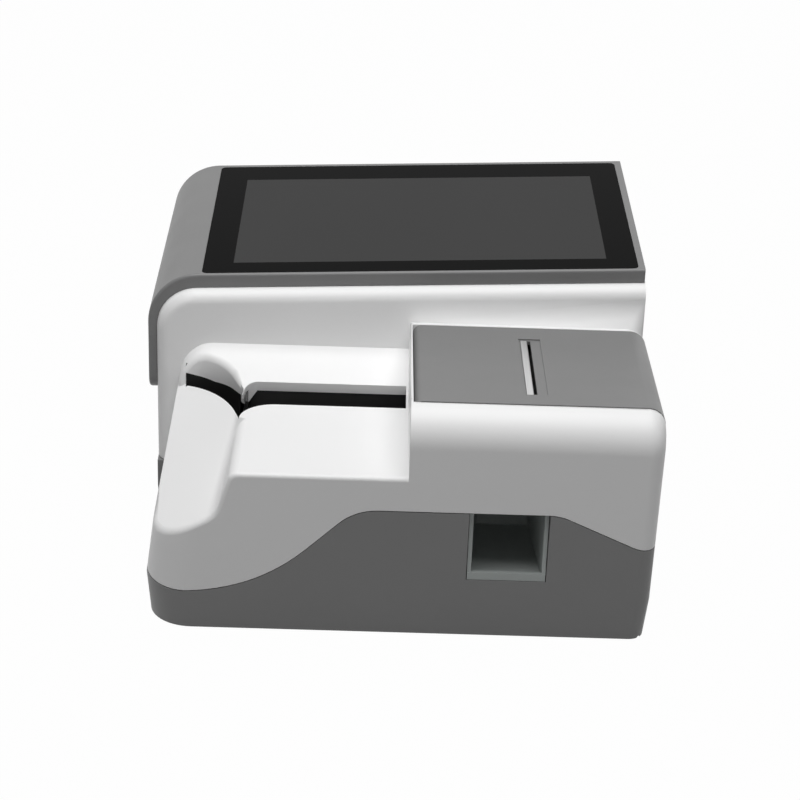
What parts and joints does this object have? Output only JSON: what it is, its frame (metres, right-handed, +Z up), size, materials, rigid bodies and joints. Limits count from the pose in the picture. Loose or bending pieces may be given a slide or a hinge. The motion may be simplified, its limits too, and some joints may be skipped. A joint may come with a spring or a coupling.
{
  "type": "veterinary urine analyzer",
  "caption": "Bench-top urine strip analyser: grey base, white housing with loading scoop, strip trench and paper printer, sloping touch screen cover, pull-out strip bin",
  "frame": {"origin": "centre of the bounding box's underside, on the bench below the feet", "axes": "+Z up, -Y towards the user (front), +X to the user's right"},
  "size_m": [0.2608, 0.2833, 0.1628],
  "materials": {
    "white_plastic": "satin moulded",
    "grey_plastic": "satin moulded",
    "dark_grey_plastic": "fine textured",
    "black_plastic": "matt",
    "black_glass": "polished cover glass",
    "display": "unlit display",
    "steel": "brushed",
    "board": "solder mask",
    "chip": "matt",
    "rubber": "matt",
    "paper": "smooth roll",
    "motor": "black painted",
    "head_plastic": "matt"
  },
  "bodies": {
    "housing": {"base_shell": "dark_grey_plastic", "upper_shell": "white_plastic", "screen_cover": "grey_plastic", "touch_glass": "black_glass", "lcd_panel": "display", "lid_hinge_pins": "steel", "printer_chassis": "black_plastic", "thermal_head": "steel", "strip_channel": "black_plastic", "mouth_guard": "black_plastic", "timing_belt": "rubber", "idler_axle": "steel", "idler_bracket": "steel", "drive_bracket": "steel", "stepper_motor": "motor", "optical_head": "head_plastic", "main_board": "board", "board_parts": "chip", "power_inlet": "black_plastic", "inlet_blades": "steel", "power_switch": "black_plastic", "usb_port": "steel", "network_port": "steel", "rubber_feet": "rubber", "case_screws": "steel"},
    "lid": {"printer_lid": "grey_plastic", "tear_bar": "steel"},
    "bin": {"strip_bin": "dark_grey_plastic"},
    "tray": {"strip_tray": "black_plastic"},
    "drive": {"drive_pulley": "steel"},
    "idler": {"idler_pulley": "steel"},
    "platen": {"platen_roller": "rubber"},
    "rocker": {"power_rocker": "black_plastic"},
    "paper": {"paper_roll": "paper"}
  },
  "joints": [
    {"name": "lid_hinge", "type": "hinge", "parent": "housing", "child": "lid", "pos_m": [0.0137, -0.07963, 0.1228], "axis": [0, -1, 0], "range_deg": [0, 85]},
    {"name": "bin_slide", "type": "slide", "parent": "housing", "child": "bin", "axis": [0, -1, 0], "range_m": [0, 0.06]},
    {"name": "tray_slide", "type": "slide", "parent": "housing", "child": "tray", "axis": [1, 0, 0], "range_m": [0, 0.08]},
    {"name": "drive_turn", "type": "hinge", "parent": "housing", "child": "drive", "pos_m": [-0.0576, -0.05053, 0.062], "axis": [0, 1, 0], "range_deg": [-5, 660]},
    {"name": "idler_turn", "type": "hinge", "parent": "housing", "child": "idler", "pos_m": [0.1084, -0.05053, 0.062], "axis": [0, 1, 0], "range_deg": [-5, 660]},
    {"name": "platen_turn", "type": "hinge", "parent": "housing", "child": "platen", "pos_m": [0.0736, -0.07963, 0.117], "axis": [0, 1, 0], "continuous": true},
    {"name": "paper_turn", "type": "hinge", "parent": "housing", "child": "paper", "pos_m": [0.1044, -0.07963, 0.1079], "axis": [0, 1, 0], "continuous": true},
    {"name": "rocker_tip", "type": "hinge", "parent": "housing", "child": "rocker", "pos_m": [0.0544, 0.13248, 0.024], "axis": [1, 0, 0], "range_deg": [-6, 6]}
  ],
  "couplings": [
    {"joint": "drive_turn", "follows": "tray_slide", "rad_per_m": 142.45},
    {"joint": "idler_turn", "follows": "tray_slide", "rad_per_m": 142.45}
  ]
}
